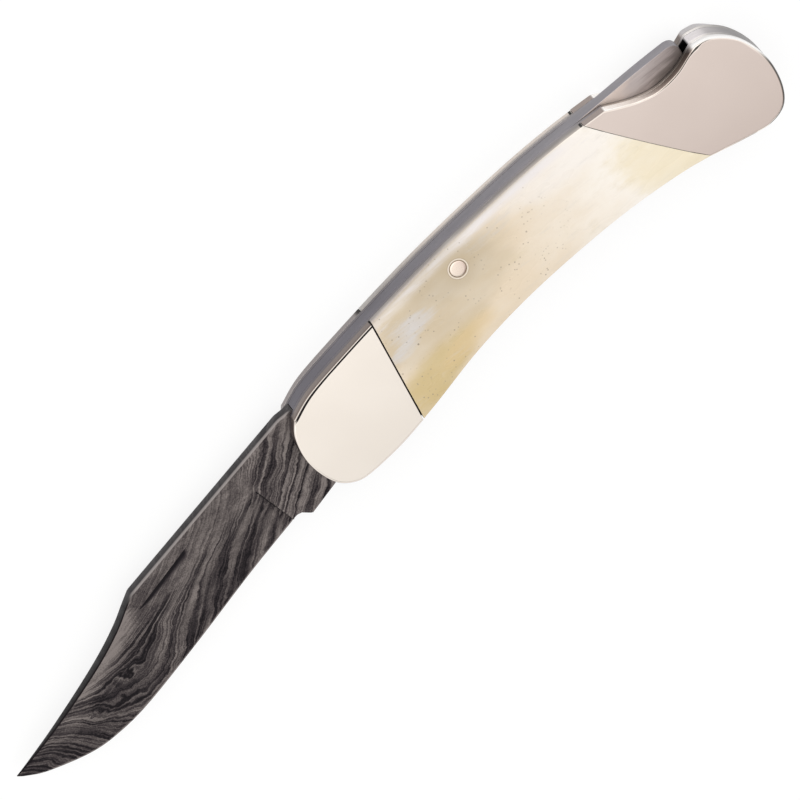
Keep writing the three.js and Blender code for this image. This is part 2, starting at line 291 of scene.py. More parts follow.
def drawn_in(points, offsets):
    """An outline moved inwards, each edge by its own amount."""
    edge = np.roll(points, -1, axis=0) - points
    out = np.stack([edge[:, 1], -edge[:, 0]], 1)
    out /= np.linalg.norm(out, axis=1)[:, None]
    before, offset_before = np.roll(out, 1, axis=0), np.roll(offsets, 1)
    cross = before[:, 0] * out[:, 1] - before[:, 1] * out[:, 0]
    dot = np.sum(before * out, axis=1)
    move = (before + out) / (1 + dot)[:, None] * ((offsets + offset_before) / 2)[:, None]
    for i in np.nonzero(np.abs(cross) > 0.15)[0]:
        move[i] = np.linalg.solve([before[i], out[i]], [offset_before[i], offsets[i]])
    return points - move


def new_piece(name, points, faces, material):
    """A mesh piece, given in millimetres."""
    mesh = bpy.data.meshes.new(name)
    mesh.from_pydata((np.asarray(points, float) / 1000).tolist(), [], faces)
    mesh.validate()
    piece = bpy.data.objects.new(name, mesh)
    bpy.context.scene.collection.objects.link(piece)
    if material:
        mesh.materials.append(material)
    smooth_over(piece)
    return piece


def smooth_over(piece):
    """Shades a piece smooth, apart from its real corners."""
    piece.data.shade_smooth()
    piece.data.set_sharp_from_angle(angle=SHARPEST)


def skin(rings):
    """The points and faces of a closed skin over a row of rings, all with the same number of points."""
    count, last = len(rings[0]), len(rings) - 1
    faces = [tuple(range(count - 1, -1, -1))]
    for r in range(last):
        for i in range(count):
            j = (i + 1) % count
            faces.append((r * count + i, r * count + j, (r + 1) * count + j, (r + 1) * count + i))
    faces.append(tuple(range(last * count, (last + 1) * count)))
    return np.concatenate(rings), faces


def slab(name, outline, levels, material, low_share=1.0, high_share=1.0, turns=5, drop_share=1.0):
    """A plate between two levels. Each edge is rounded by its own radius, or less deep than wide."""
    points, rounding = outline
    low, high = levels
    reach = np.maximum(rounding, np.roll(rounding, 1))
    support = 0.03
    rings = []

    def ring(share, angle, level, sign, extra=0.0):
        inset = rounding * share * (1 - math.cos(angle)) + extra
        drop = reach * share * drop_share * (1 - math.sin(angle))
        flat = drawn_in(points, inset)
        rings.append(np.column_stack([flat, level + sign * drop]))

    quarter = math.pi / 2
    ring(low_share, quarter, low, 1, support)
    for i in range(turns, -1, -1):
        ring(low_share, quarter * i / turns, low, 1)
    rings.append(rings[-1] + (0, 0, support))
    ring(high_share, 0, high, -1)
    rings.insert(-1, rings[-1] - (0, 0, support))
    for i in range(1, turns + 1):
        ring(high_share, quarter * i / turns, high, -1)
    ring(high_share, quarter, high, -1, support)
    return new_piece(name, *skin(rings), material)


def cut_away(piece, cutter):
    """Takes a cutter's shape out of a piece."""
    tool = piece.modifiers.new("cut", "BOOLEAN")
    tool.operation = "DIFFERENCE"
    tool.solver = "EXACT"
    tool.object = cutter
    bpy.context.view_layer.update()
    cut = piece.evaluated_get(bpy.context.evaluated_depsgraph_get())
    whole = piece.data
    piece.data = bpy.data.meshes.new_from_object(cut)
    piece.modifiers.clear()
    piece.data.name = piece.name
    bpy.data.meshes.remove(whole)
    scrap = cutter.data
    bpy.data.objects.remove(cutter)
    bpy.data.meshes.remove(scrap)
    smooth_over(piece)


def turned(name, profile, place, material):
    """A piece turned on a lathe about an upright axis: the profile is radius and level."""
    points, faces = [], []
    for i in range(LATHE_STEPS):
        angle = 2 * math.pi * i / LATHE_STEPS
        for radius, level in profile:
            points.append((place[0] + radius * math.cos(angle), place[1] + radius * math.sin(angle), level))
    count = len(profile)
    for i in range(LATHE_STEPS):
        a, b = i * count, (i + 1) % LATHE_STEPS * count
        for k in range(count - 1):
            faces.append((a + k, b + k, b + k + 1, a + k + 1))
    faces.append(tuple(i * count for i in range(LATHE_STEPS - 1, -1, -1)))
    faces.append(tuple(i * count + count - 1 for i in range(LATHE_STEPS)))
    return new_piece(name, points, faces, material)


def bore(piece, places, radius, levels):
    """Drills the same round hole at several places."""
    for place in places:
        cut_away(piece, turned("drill", [(radius, levels[0]), (radius, levels[1])], place, None))


class Finish:
    """A material under way: its node tree, its shader, and places on the piece in millimetres."""

    def __init__(self, name, **plain):
        self.material = bpy.data.materials.new(name)
        self.material.use_nodes = True
        self.tree = self.material.node_tree
        self.shader = self.tree.nodes["Principled BSDF"]
        for socket, value in plain.items():
            self.shader.inputs[socket.replace("_", " ")].default_value = value
        self.place = add_node(self.tree, "TexCoord", {}, out=3)

    def axes(self):
        """The place along X, Y and Z in millimetres."""
        split = self.tree.nodes.new("ShaderNodeSeparateXYZ")
        feed(self.tree, split.inputs[0], self.place)
        return [Field(self.tree, axis) * 1000.0 for axis in split.outputs]

    def facing(self, direction):
        """How far the surface faces along an axis of the knife, from -1 to 1."""
        normal = add_node(self.tree, "TexCoord", {}, out=1)
        return add_node(self.tree, "VectorMath", {0: normal, 1: direction}, out=1, operation="DOT_PRODUCT")

    def noise(self, grain, detail=3.0, rough=0.5, shift=0.0):
        """Cloudy noise, with the size of its grain in millimetres along X, Y and Z."""
        sizes = grain if isinstance(grain, tuple) else (grain,) * 3
        scale = tuple(1000.0 / s for s in sizes)
        moved = (shift, shift * 1.7, shift * 0.6)
        at = add_node(self.tree, "Mapping", {"Vector": self.place, "Scale": scale, "Location": moved})
        grains = {"Vector": at, "Scale": 1.0, "Detail": detail, "Roughness": rough}
        return add_node(self.tree, "TexNoise", grains)

    def colours(self, field, *stops):
        """A colour ramp: each stop is a position and a colour."""
        ramp = self.tree.nodes.new("ShaderNodeValToRGB")
        ramp.color_ramp.interpolation = "EASE"
        ramp.color_ramp.elements.remove(ramp.color_ramp.elements[1])
        for i, (position, colour) in enumerate(stops):
            stop = ramp.color_ramp.elements[0] if i == 0 else ramp.color_ramp.elements.new(position)
            stop.position = position
            stop.color = (*colour, 1)
        feed(self.tree, ramp.inputs[0], field)
        return Field(self.tree, ramp.outputs[0])

    def mix(self, share, under, over):
        """One colour laid over another by a share."""
        made = self.tree.nodes.new("ShaderNodeMix")
        made.data_type = "RGBA"
        feed(self.tree, made.inputs[0], share)
        for slot, colour in ((6, under), (7, over)):
            feed(self.tree, made.inputs[slot], (*colour, 1) if isinstance(colour, tuple) else colour)
        return Field(self.tree, made.outputs[2])

    def shade(self, colour, factor):
        """A colour made lighter or darker by a factor."""
        return add_node(self.tree, "VectorMath", {0: colour, "Scale": factor}, operation="SCALE")

    def bump(self, height, depth):
        """Relief of a depth in millimetres where the field goes from 0 to 1."""
        at = add_node(self.tree, "Bump", {"Strength": 1.0, "Distance": depth / 1000, "Height": height})
        feed(self.tree, self.shader.inputs["Normal"], at)

    def set(self, **fields):
        """Sets the shader's sockets, and gives the finished material."""
        for socket, value in fields.items():
            feed(self.tree, self.shader.inputs[socket.replace("_", " ")], value)
        return self.material


def ground_steel(name, rough):
    """Steel with the fine lengthwise lines of a belt grinder: the finish, its place and its lines."""
    finish = Finish(name, Metallic=1.0)
    lines = finish.noise((9.0, 0.05, 0.05), detail=5, rough=0.65)
    clouds = finish.noise((14, 3, 3), detail=2, shift=3.1)
    finish.bump(lines, 0.006)
    finish.set(Roughness=lines * 0.18 + rough)
    return finish, finish.axes(), (lines - 0.5) * 0.9 + (clouds - 0.5) * 0.5 + 1.0


steel, (x, y, z), wear = ground_steel("liner_steel", 0.30)
in_scoop = x.ramp(66.2, 67.0) * x.ramp(84.2, 83.0)
colour = steel.mix(x.ramp(-10, 75), (0.142, 0.128, 0.14), (0.285, 0.262, 0.27))
colour = steel.mix(x.ramp(83.5, 85), colour, (0.84, 0.80, 0.77))
# Painted reflection on the liner's cut edge in the scoop: light at its front, dark towards the butt, and
# darker next to the lock bar: painted shade.
scoop_reflection_tone = steel.mix(x.ramp(72, 84), (0.74, 0.68, 0.62), (0.16, 0.135, 0.12))
scoop_reflection_tone = steel.shade(scoop_reflection_tone, (z - MIDDLE).size().ramp(1.56, 1.85, 0.55))
colour = steel.mix(in_scoop, colour, scoop_reflection_tone)
# The liner's flat sides, seen only in the gaps between parts, are painted near black: painted shade.
colour = steel.mix(steel.facing((0, 0, 1)).size().ramp(0.7, 0.9), colour, (0.05, 0.045, 0.045))
# Grinding lines and clouds vary the tone; the faces that turn towards the butt are darker: painted shade.
colour = steel.shade(colour, wear * (1.0 - steel.facing((1, 0, 0)).ramp(0.2, 0.9) * 0.7))
liner_steel = steel.set(Base_Color=colour)
butt, belly = rounded_corner(butt, belly, HEEL_CORNER)
plain_scoop, plain_butt = scoop, butt
scoop, butt = rounded_corner(plain_scoop, plain_butt, SCOOP_CORNER)
whole_outline = loop(*((run, LINER_EDGE) for run in (spine, scoop, butt, belly, nose)))
for side, levels in (("mark", MARK_LINER), ("pile", PILE_LINER)):
    liner = slab(f"{side}_side_liner", whole_outline, levels, liner_steel, turns=3)
    past = (levels[0] - 1, levels[1] + 1)
    bore(liner, [PIVOT], PIVOT_HOLE, past)
    bore(liner, [ROCKER], ROCKER_HOLE, past)
    bore(liner, BUTT_PINS, BUTT_PIN_HOLE, past)
    bore(liner, [*FRONT_RIVETS, REAR_RIVET], RIVET_HOLE, past)
    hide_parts(f"{side}_liner")
    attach(liner, "handle")


# Rear spacer: a steel block that fills the butt between the liners and holds the leaf spring in
# a slot sawn into its front. Two pins go through it, and its back is ground flush with the liners.
WELL = (2.9, 5.9)
DRILLED = (WELL[0] - 1, WELL[1] + 1)
SPACER_FRONT, SPACER_EDGE, SLOT_EDGE = 84.0, 0.12, 0.04
SLOT_END, SLOT_FLOOR, SLOT_ROOF = 90.3, 7.85, 9.1


def crossing(run, line):
    """Where a run first crosses a line: the place in the run, and the point."""
    for i in range(len(run) - 1):
        for k in range(len(line) - 1):
            step, side = run[i + 1] - run[i], line[k + 1] - line[k]
            cross = step[0] * side[1] - step[1] * side[0]
            if abs(cross) < 1e-12:
                continue
            gap = line[k] - run[i]
            along = (gap[0] * side[1] - gap[1] * side[0]) / cross
            over = (gap[0] * step[1] - gap[1] * step[0]) / cross
            if 0 <= along < 1 and 0 <= over <= 1:
                return i, run[i] + along * step
    raise ValueError("the lines don't cross")


def after(run, line, clear=0.3):
    """The run from where it crosses a line, with no other point close to the crossing."""
    i, point = crossing(run, line)
    rest = run[i + 1:]
    return np.vstack([point, rest[np.linalg.norm(rest - point, axis=1) > clear]])


def before(run, line, clear=0.3):
    """The run up to where it crosses a line, with no other point close to the crossing."""
    return after(run[::-1], line, clear)[::-1]


steel, (x, y, z), wear = ground_steel("spacer_steel", 0.32)
# Painted shade: the spacer's front, which faces the gap behind the lock bar, is near black, and faces turned
# towards the butt are darker.
shaded_toward_butt = steel.facing((1, 0, 0)).ramp(0.15, 0.9)
spacer_tone_and_gap_shade = steel.mix(x.ramp(84.0, 84.4), (0.05, 0.048, 0.05), (0.75, 0.71, 0.715))
spacer_steel = steel.set(Base_Color=steel.shade(spacer_tone_and_gap_shade, wear * (1.0 - shaded_toward_butt * 0.7)))
front_wall = np.array([(SPACER_FRONT, 30.0), (SPACER_FRONT, -20.0)])
spacer_top = np.vstack([after(scoop, front_wall), butt[1:]])
spacer_under = before(belly, front_wall)
spacer_front = np.array([spacer_under[-1], (SPACER_FRONT, SLOT_FLOOR), (SLOT_END, SLOT_FLOOR),
                         (SLOT_END, SLOT_ROOF), (SPACER_FRONT, SLOT_ROOF), spacer_top[0]])
spacer_outline = loop((spacer_top, SPACER_EDGE), (spacer_under, SPACER_EDGE), (spacer_front, SLOT_EDGE))
spacer = slab("rear_spacer_block", spacer_outline, WELL, spacer_steel, turns=3)
bore(spacer, BUTT_PINS, BUTT_PIN_HOLE, DRILLED)
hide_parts("rear_spacer")
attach(spacer, "handle")


# Leaf spring: a strip of blued spring steel, held at its rear in the spacer's slot. Its free end
# bears upwards on the lock bar's tail. Here it is one fixed piece, on no moving body.
LEAF_LINE = [(90, 8.4), (84, 8.45), (78, 9.2), (73, 10.1), (68.5, 10.9)]
LEAF_THICKNESS, LEAF_WIDTH, LEAF_EDGE = 0.9, 2.7, 0.1
blued = Finish("blued_spring_steel", Metallic=1.0)
bluing = blued.noise((6, 1.5, 1.5), detail=4)
blued_colour = blued.colours(bluing, (0.3, (0.035, 0.045, 0.085)), (0.55, (0.06, 0.075, 0.13)),
                             (0.75, (0.13, 0.11, 0.12)))
blued.bump(blued.noise((5, 0.06, 0.06), detail=3), 0.004)
blued.set(Base_Color=blued_colour, Roughness=bluing * 0.2 + 0.28)
leaf_line = through(LEAF_LINE, 40)
leaf_side = np.gradient(leaf_line, axis=0)
leaf_side = np.stack([-leaf_side[:, 1], leaf_side[:, 0]], 1)
leaf_side *= LEAF_THICKNESS / 2 / np.linalg.norm(leaf_side, axis=1)[:, None]
leaf_top, leaf_under = leaf_line + leaf_side, (leaf_line - leaf_side)[::-1]
leaf_front, leaf_rear = np.array([leaf_top[-1], leaf_under[0]]), np.array([leaf_under[-1], leaf_top[0]])
leaf_outline = loop(*((run, LEAF_EDGE) for run in (leaf_top, leaf_front, leaf_under, leaf_rear)))
leaf_levels = (MIDDLE - LEAF_WIDTH / 2, MIDDLE + LEAF_WIDTH / 2)
leaf = slab("leaf_spring", leaf_outline, leaf_levels, blued.material, turns=3)
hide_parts("lock_spring")
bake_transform(leaf)


# Lock bar: a long steel rocker that fills the spine. Its hook drops into the tang's notch, it
# rocks on the pin through the handle's middle, and its tail stands free in the thumb scoop.
HOOK_FRONT = -5.0
TAIL_TOP = [(60, 15.72), (66, 15.82), (75, 16), (80.9, 15.95)]
TAIL_CORNER = [(80.9, 15.95), (81.7, 15.75), (82.3, 15.3), (82.6, 14.6)]
TAIL_END = np.array([(82.6, 14.6), (82.5, 13.0)])
UNDERSIDE = [(82.5, 13.0), (80.6, 12.2), (77, 11.7), (70, 11.5), (58, 11.4), (46, 10.8), (38.5, 9.6)]
BOSS_RADIUS, RUNNING_HOLE, BAR_EDGE, TAIL_EDGE, HOOK_EDGE = 2.3, 1.31, 0.1, 0.16, 0.05
NECK = [(24.5, 8.25), (14.7, 7.65), (5, 6.85), (-1.2, 6.4)]
HOOK = [(-1.2, 6.4), (-1.2, 5.5), (-4.7, 5.5)]
steel, (x, y, z), wear = ground_steel("bar_steel", 0.34)
bar_top = steel.mix(x.ramp(-10, 75), (0.133, 0.124, 0.145), (0.285, 0.27, 0.29))
# Painted reflection on the lock bar's sides in the scoop: light near the scoop's front and the spine, darker
# towards the butt and downwards, with streaks in it.
reflection_streaks = steel.noise((5.0, 0.8, 0.8), detail=4, shift=5.5) - 0.5
reflection_falloff = (x - 67.5) * (1 / 14) + (14.0 - y) * 0.13 + reflection_streaks * 0.7 - (wear - 1.0) * 0.6
bar_side_reflection = steel.colours(reflection_falloff, (0.0, (0.62, 0.54, 0.50)), (0.35, (0.51, 0.46, 0.45)),
                             (0.65, (0.42, 0.37, 0.36)), (1.0, (0.215, 0.187, 0.178)))
side_in_scoop = steel.facing((0, 0, 1)).size().ramp(0.3, 0.85) * x.ramp(61, 64)
bar_tone = steel.mix(side_in_scoop, bar_top, bar_side_reflection)
bar_steel = steel.set(Base_Color=steel.shade(bar_tone, wear))
hook_wall = np.array([(HOOK_FRONT, 0.0), (HOOK_FRONT, 20.0)])
bar_front = after(spine, hook_wall)
bar_front = bar_front[bar_front[:, 0] < TAIL_TOP[0][0] - 1]
tail = np.vstack([through(TAIL_TOP, 30)[:-1], through(TAIL_CORNER, 18)])
boss_angles = np.radians(np.linspace(-40, -140, 24))
boss = np.array(ROCKER) + BOSS_RADIUS * np.column_stack([np.cos(boss_angles), np.sin(boss_angles)])
bar_under = np.vstack([through(UNDERSIDE, 50), boss])
bar_neck = np.vstack([boss[-1:], through(NECK, 40)])
bar_hook = np.array([*HOOK, tuple(bar_front[0])], float)
bar_back = np.vstack([bar_front, tail])
bar_outline = loop((bar_back, BAR_EDGE), (TAIL_END, TAIL_EDGE), (bar_under, BAR_EDGE), (bar_neck, BAR_EDGE),
                   (bar_hook, HOOK_EDGE))
bar = slab("rocking_lock_bar", bar_outline, WELL, bar_steel, turns=4)
bore(bar, [ROCKER], RUNNING_HOLE, DRILLED)
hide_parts("lock_bar")
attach(bar, "lock_bar")


# Bolsters: four caps of nickel silver, riveted to the liners at the front and rear of both sides.
# Their faces are mirror polished, their edges just broken, and their backs ground with the spine.
PILE_SLAB, MARK_SLAB = (0.0, 1.94), (6.86, 8.8)
FRONT_JOINT = np.array([(15.35, 20), (9.94, -14)])
REAR_JOINT = [(59.6, 19.4), (61.95, 15.8), (64.72, 11.66), (70.05, 4.1), (75.3, -2.8), (84, -13)]
FRONT_HALF_GAP, REAR_HALF_GAP = 0.13, 0.045
SPINE_EDGE, BELLY_EDGE, TAB_EDGE, SCOOP_EDGE, BUTT_EDGE, JOINT_EDGE = 0.5, 0.35, 0.2, 0.3, 0.45, 0.03
FACE_CORNER, TOP_BUTT_EDGE, CORNER_EDGE, FAR_BUTT_EDGE = 0.5, 0.2, 0.75, 1.9
BACK_SHARE, CLEAR, SKIN = 0.05, 1.4, 0.6
FRONT_LINE, REAR_LINE = (0.159, 12.17), (-0.6, 71.1)
# Near black for the joints: painted shade in their gaps, and a darkening where the joint lines meet the
# spine.
JOINT_DARK = (0.012, 0.010, 0.009)


def past_line(x, y, line):
    """How far a place near the spine is past a joint: the line has a lean and an X at Y zero."""
    return x - y * line[0] - line[1]


def nickel_silver():
    """Mirror polish on the faces and in the scoop, satin grinding on the edges, painted shade on the joint
    walls.

    Thin dark lines on the roundings are painted reflections of the dark side of a room that they mirror. A
    thin light line is a painted highlight, the scoop's wall carries a painted reflection, and the flanks
    carry painted light and shade.
    """
    finish = Finish("nickel_silver", Metallic=1.0)
    x, y, z = finish.axes()
    upwards, level = finish.facing((0, 1, 0)), finish.facing((0, 0, 1)).size()
    near = z.ramp(4.2, 4.6)
    haze = finish.noise(9.0, detail=2, shift=1.3)
    lines = finish.noise((8, 0.05, 0.05), detail=4, rough=0.6)
    face = finish.colours(haze, (0.3, (0.825, 0.755, 0.692)), (0.7, (0.845, 0.775, 0.712)))
    # Satin flanks: the near side's flank is painted darker than the far side's, and at the butt the near
    # flank is painted nearly white towards the face and the far flank grey: painted light and shade.
    flank = finish.mix(near, (0.275, 0.245, 0.24), (0.20, 0.163, 0.147))
    flank = finish.mix(x.ramp(40, 42), flank, (0.32, 0.262, 0.238))
    lit_and_shaded_butt_flank = finish.mix(z.ramp(7.3, 8.1), (0.76, 0.74, 0.73), (1.0, 0.98, 0.96))
    lit_and_shaded_butt_flank = finish.mix(near, (0.515, 0.495, 0.50), lit_and_shaded_butt_flank)
    flank = finish.mix(x.ramp(83.6, 84.6), flank, lit_and_shaded_butt_flank)
    flank = finish.shade(flank, (lines - 0.5) * 0.8 + 1.0)
    in_scoop = x.ramp(66.1, 66.5) * x.ramp(84.2, 83.6)
    polished = in_scoop.most(x.ramp(83.6, 84.6) * near)
    # Painted reflection on the scoop's wall: nearly white at its front, dark brown towards the butt, and
    # darker deeper down: painted shade. From the middle of the scoop back it reaches up the rounding.
    scoop_wall_reflection = finish.colours((x - 66.0) * (1 / 18), (0.0, (1.0, 0.97, 0.94)), (0.3, (0.93, 0.84, 0.77)),
                                (0.6, (0.74, 0.63, 0.56)), (1.0, (0.22, 0.17, 0.145)))
    scoop_wall_reflection = finish.shade(scoop_wall_reflection, 1.0 - x.ramp(70, 75) * z.ramp(8.8, 7.0) * 0.35)
    flank = finish.mix(in_scoop, flank, scoop_wall_reflection)
    scoop_side = in_scoop * x.ramp(69, 73) * level.ramp(0.78, 0.985, 1.0, 0.0)
    side = level.ramp(0.58, 0.78, 1.0, 0.0).most(scoop_side)
    colour = finish.mix(side, face, flank)
    # A painted dark reflection on the rounding at the butt's end.
    dark_end_reflection = finish.facing((0.9, -0.43, 0)).ramp(0.15, 0.3)
    dark_end_reflection = dark_end_reflection * x.ramp(85.5, 87) * y.ramp(7.0, 3.0) * z.ramp(8.0, 8.35)
    rising = x.ramp(74, 78) * x.ramp(88.0, 86.2) * y.ramp(9, 11)
    dark_line = rising * level.ramp(0.99, 0.955) * level.ramp(0.70, 0.80)
    front_spine = near * x.ramp(20, 18) * x.ramp(-6.6, -5.4) * upwards.ramp(0.05, 0.10)
    dark_line = dark_line + front_spine * level.ramp(0.998, 0.988) * level.ramp(0.76, 0.84) * 1.12
    colour = finish.shade(colour, 1.0 - dark_end_reflection.most(dark_line) * 0.87)
    # A painted highlight: a thin light line along the roundings at the rear of the scoop.
    light_line = rising * level.ramp(0.42, 0.52) * level.ramp(0.72, 0.64)
    colour = finish.mix(light_line * 0.8, colour, (0.60, 0.53, 0.48))
    # Where the scoop wall's painted reflection is light, the metal is made less metallic, so that it lights
    # up nearly white.
    bright_wall = in_scoop * x.ramp(79, 69) * side
    on_pin = z.ramp(8.5, 8.7) * x.ramp(28, 29) * x.ramp(34, 33) * y.ramp(6, 7)
    colour = finish.mix(on_pin, colour, (0.855, 0.735, 0.64))
    # Painted shade on the bolsters' walls in the joint gaps and on the far front bolster's flank near its
    # joint; the joint lines are also darker where they meet the spine.
    joint = finish.facing((0.93, -0.37, 0)).ramp(0.8, 0.95) * x.ramp(30, 20)
    past_front = past_line(x, y, FRONT_LINE)
    dark_joint_end = past_front.size().ramp(0.30, 0.18) * (z - MIDDLE).size().ramp(4.0, 3.0, 0.35)
    dark_joint_end = dark_joint_end + past_line(x, y, REAR_LINE).size().ramp(0.28, 0.17)
    shaded_far_end = past_front.ramp(-1.5, -0.4) * x.ramp(20, 15) * (1.0 - near)
    spine_side = side * upwards.ramp(0.6, 0.8)
    joint = joint.most(dark_joint_end * spine_side * 0.9).most(shaded_far_end * spine_side * 0.85)
    rear_joint_wall = finish.facing((-0.81, -0.58, 0)).ramp(0.8, 0.95) * x.ramp(40, 50)
    colour = finish.mix(joint, colour, JOINT_DARK)
    colour = finish.mix(rear_joint_wall, colour, (0.10, 0.075, 0.055))
    finish.bump(lines * side, 0.006)
    rough = side * (1.0 - polished * 0.7) * 0.22 + (haze * 0.03 + 0.06)
    return finish.set(Base_Color=colour, Roughness=rough + joint * 0.4, Metallic=1.0 - bright_wall * 0.75)


silver = nickel_silver()
rear_joint = through(REAR_JOINT, 48)
face_scoop, face_butt = rounded_corner(plain_scoop, plain_butt, FACE_CORNER)


def joint_edge(line, start, end, clear=2.0):
    """The part of a joint line from one point to another, with no other point close to either."""
    start, end = np.array(start), np.array(end)
    steps = np.linspace(0, 1, 400)[:, None]
    fine = np.vstack([a + (b - a) * steps for a, b in zip(line[:-1], line[1:])])
    way = np.sign(end[1] - start[1])
    inner = fine[(way * (fine[:, 1] - start[1]) > clear) & (way * (end[1] - fine[:, 1]) > clear)]
    inner = inner[np.argsort(way * inner[:, 1])]
    return np.vstack([start, inner[::max(len(inner) // 24, 1)], end])


def bolster_outline(side, where):
    """A bolster's outline: its edges along the handle, and its joint with the scale."""
    if where == "front":
        line = FRONT_JOINT - (FRONT_HALF_GAP if side == "mark" else REAR_HALF_GAP, 0)
        top, under = before(spine, line, CLEAR), after(belly, line, CLEAR)
        join = joint_edge(line, top[-1], under[0])
        top_edge = np.interp(top[:, 0], [-5, 3], [SPINE_EDGE * 1.45, SPINE_EDGE * 1.1])
        return loop((nose, BELLY_EDGE), (top, top_edge), (join, JOINT_EDGE), (under, BELLY_EDGE))
    line = rear_joint + (REAR_HALF_GAP, 0)
    top, under = after(spine, line, CLEAR), before(belly, line, CLEAR)
    join = joint_edge(line, under[-1], top[0], 3)
    if side == "mark":
        back = (face_scoop, face_butt)
        butt_edge = np.interp(face_butt[:, 1], [8, 10], [BUTT_EDGE, TOP_BUTT_EDGE])
        butt_edge = np.maximum(butt_edge, np.interp(face_butt[:, 0], [84.8, 86.2], [CORNER_EDGE, 0]))
        scoop_edge = np.interp(face_scoop[:, 0], [82.8, 84.4], [SCOOP_EDGE, CORNER_EDGE])
    else:
        back = (scoop, butt)
        scoop_edge = SCOOP_EDGE
        butt_edge = np.interp(butt[:, 0], [86.8, 89.4], [SCOOP_EDGE, FAR_BUTT_EDGE])
        lower_edge = np.interp(butt[:, 1], [-5, 4], [BELLY_EDGE, FAR_BUTT_EDGE])
        butt_edge = np.where(butt[:, 1] > 4, butt_edge, lower_edge)
    return loop((top, TAB_EDGE), (back[0], scoop_edge), (back[1], butt_edge), (under, BELLY_EDGE),
                (join, JOINT_EDGE))


for side, levels in (("mark", MARK_SLAB), ("pile", PILE_SLAB)):
    if side == "mark":
        shares, blind = {"low_share": BACK_SHARE}, (levels[0] - 1, levels[1] - SKIN)
    else:
        shares, blind = {"high_share": BACK_SHARE}, (levels[0] + SKIN, levels[1] + 1)
    for where in ("front", "rear"):
        bolster = slab(f"{side}_side_{where}_bolster", bolster_outline(side, where), levels, silver, **shares)
        if where == "front":
            bore(bolster, [PIVOT], PIVOT_HOLE, blind)
            bore(bolster, FRONT_RIVETS, RIVET_HOLE, blind)
        else:
            bore(bolster, [REAR_RIVET], RIVET_HOLE, blind)
            bore(bolster, BUTT_PINS, BUTT_PIN_HOLE, blind)
        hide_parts(f"{side}_{where}_bolster")
        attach(bolster, "handle")


# Pins and rivets: drawn nickel silver rod, cut to length. Peened and polished flush, they don't
# show in the bolsters' faces, so here they end just under them.
PIVOT_RADIUS, BUTT_PIN_RADIUS, RIVET_RADIUS, ROD_CHAMFER = 2.0, 1.2, 0.8, 0.1
rod = Finish("drawn_rod", Metallic=1.0)
draw_lines = rod.noise((0.08, 0.08, 4.0), detail=4)
rod.bump(draw_lines, 0.004)
rod.set(Base_Color=rod.colours(draw_lines, (0.3, (0.42, 0.38, 0.33)), (0.7, (0.66, 0.61, 0.55))),
        Roughness=draw_lines * 0.2 + 0.22)
hidden = [("pivot_pin", PIVOT, PIVOT_RADIUS), ("upper_butt_pin", BUTT_PINS[0], BUTT_PIN_RADIUS),
          ("lower_butt_pin", BUTT_PINS[1], BUTT_PIN_RADIUS)]
for side in ("mark", "pile"):
    for where, place in zip(("front_upper", "front_lower", "rear"), (*FRONT_RIVETS, REAR_RIVET)):
        hidden.append((f"{side}_{where}_rivet", place, RIVET_RADIUS))
for name, place, radius in hidden:
    low, high = (corner[2] * 1000 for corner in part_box(name))
    inner = radius - ROD_CHAMFER
    profile = [(inner, low), (radius, low + ROD_CHAMFER), (radius, high - ROD_CHAMFER), (inner, high)]
    pin = turned(f"{name}_rod", profile, place, rod.material)
    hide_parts(name)
    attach(pin, "handle")


# Scales: two slabs of smooth bone, glued to the liners between the bolsters and held by the
# rocker pin. The bone is cream with tan and pearly patches, and its long edges are rounded over.
SCALE_EDGE, SCALE_CROWN, SCALE_BACK_SHARE, SCALE_TURNS, SCALE_CLEAR = 2.4, 0.17, 0.02, 14, 3
HEAD_HOLE, HEAD_RIM, HEAD_SEAT = 1.43, 1.47, -0.39
COUNTERBORE = [(ROCKER_HOLE, -3), (ROCKER_HOLE, HEAD_SEAT), (HEAD_HOLE, HEAD_SEAT), (HEAD_HOLE, -0.04),
               (HEAD_RIM, 0.01), (HEAD_RIM, 1)]
CREAM, WHITE, SHEEN = (0.76, 0.64, 0.485), (0.92, 0.87, 0.80), (0.90, 0.865, 0.845)
PEARL, LAVENDER, BROWN = (0.64, 0.607, 0.583), (0.83, 0.79, 0.79), (0.45, 0.38, 0.30)
TAN, GOLD, AMBER, STRAW = (0.60, 0.495, 0.345), (0.59, 0.455, 0.215), (0.71, 0.53, 0.29), (0.80, 0.68, 0.42)
bone = Finish("polished_bone")
x, y, z = bone.axes()


def patch(at, spread, lean=0.0, soft=1.0):
    """A soft oval patch on the scale: 1 at its middle, 0 outside."""
    cos, sin = math.cos(math.radians(lean)), math.sin(math.radians(lean))
    dx, dy = x - at[0], y - at[1]
    along = (dx * cos + dy * sin) * (1.0 / spread[0])
    over = (dy * cos - dx * sin) * (1.0 / spread[1])
    return (along * along + over * over).ramp(1.0, 0.0, 0.0, soft)


stir = bone.noise((9, 5, 5), detail=4, rough=0.6) - 0.5
fine_stir = bone.noise((3.5, 1.6, 1.6), detail=4, rough=0.65, shift=2.2) - 0.5
streaks = bone.noise((5.5, 0.5, 0.5), detail=4, rough=0.65, shift=6.4) - 0.5
cloud = bone.noise((16, 7, 7), detail=3, rough=0.55, shift=4.7)
colour = bone.mix((x + stir * 22.0).ramp(36, 66), CREAM, WHITE)
tan = patch((25, 7), (21, 9), 10) + stir * 0.7 + fine_stir * 0.5
colour = bone.mix(tan.ramp(0.0, 0.8, 0.0, 0.9), colour, TAN)
gold = patch((14, -4), (19, 5.5), 15) + stir * 0.8 + fine_stir * 0.5
colour = bone.mix(gold.ramp(0.0, 1.0, 0.0, 0.9), colour, GOLD)
amber = patch((25, -1.5), (9, 2.6), 12) + stir * 0.9
colour = bone.mix(amber.ramp(0.1, 1.0, 0.0, 0.4), colour, AMBER)
